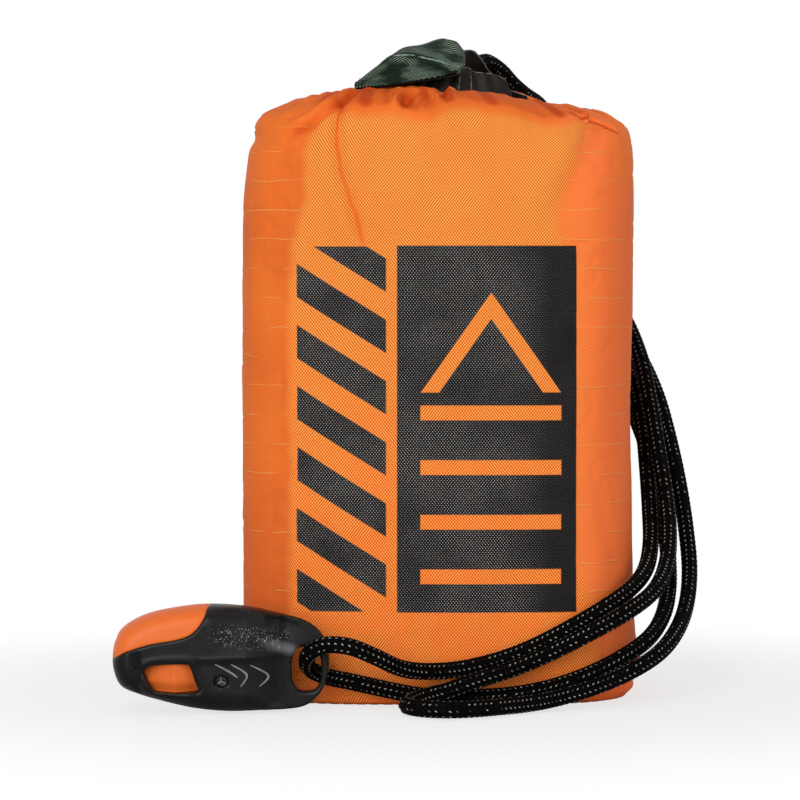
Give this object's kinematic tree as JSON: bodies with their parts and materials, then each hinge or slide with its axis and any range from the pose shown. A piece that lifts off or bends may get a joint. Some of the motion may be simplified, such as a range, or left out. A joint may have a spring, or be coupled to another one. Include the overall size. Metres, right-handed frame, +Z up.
{
  "type": "packed emergency tent",
  "caption": "Emergency tube tent packed in an orange ripstop drawcord sack, with a whistle on its black braided cord and the rolled tent film inside.",
  "frame": {"origin": "middle of the sack's base, on the surface that it stands on", "axes": "+Z up, -Y towards the sack's printed front, +X towards the side that the cord hangs down"},
  "size_m": [0.1366, 0.1149, 0.1576],
  "materials": {
    "orange_ripstop": "satin",
    "binding_tape": "matte",
    "black_satin": "satin",
    "black_braid": "matte",
    "green_twill": "matte",
    "orange_plastic": "satin",
    "black_rubber": "matte",
    "tent_film": "satin",
    "elastic": "matte"
  },
  "bodies": {
    "sack": {"sack_wall": "orange_ripstop", "sack_base": "orange_ripstop", "base_seam_binding": "binding_tape", "back_seam": "orange_ripstop", "mouth_gather": "orange_ripstop", "mouth_hem": "orange_ripstop", "throat_lining": "black_satin", "drawcord": "black_braid", "cord_knot": "black_braid", "cord_tail_whistle": "black_braid", "cord_tail_spare": "black_braid"},
    "flap": {"dust_flap": "green_twill", "dust_flap_backing": "black_satin"},
    "whistle": {"whistle_core": "orange_plastic", "whistle_shell_near": "black_rubber", "whistle_shell_far": "black_rubber"},
    "tent_roll": {"tent_film_roll": "tent_film", "roll_band_upper": "elastic", "roll_band_lower": "elastic"}
  },
  "joints": [
    {"name": "roll_slide", "type": "slide", "parent": "sack", "child": "tent_roll", "axis": [0, 0, 1], "range_m": [0, 0.158], "deforming": ["mouth_gather", "mouth_hem", "throat_lining", "drawcord", "dust_flap", "dust_flap_backing"]},
    {"name": "flap_hinge", "type": "hinge", "parent": "sack", "child": "flap", "pos_m": [0, 0.0332, 0.136], "axis": [-1, 0, 0], "range_deg": [0, 90]},
    {"name": "whistle_swing", "type": "hinge", "parent": "sack", "child": "whistle", "pos_m": [-0.0309, -0.047, 0.0114], "axis": [0, 1, 0], "range_deg": [0, 85], "deforming": ["cord_tail_whistle"]}
  ],
  "couplings": [
    {"joint": "flap_hinge", "follows": "roll_slide", "rad_per_m": 9.94}
  ]
}
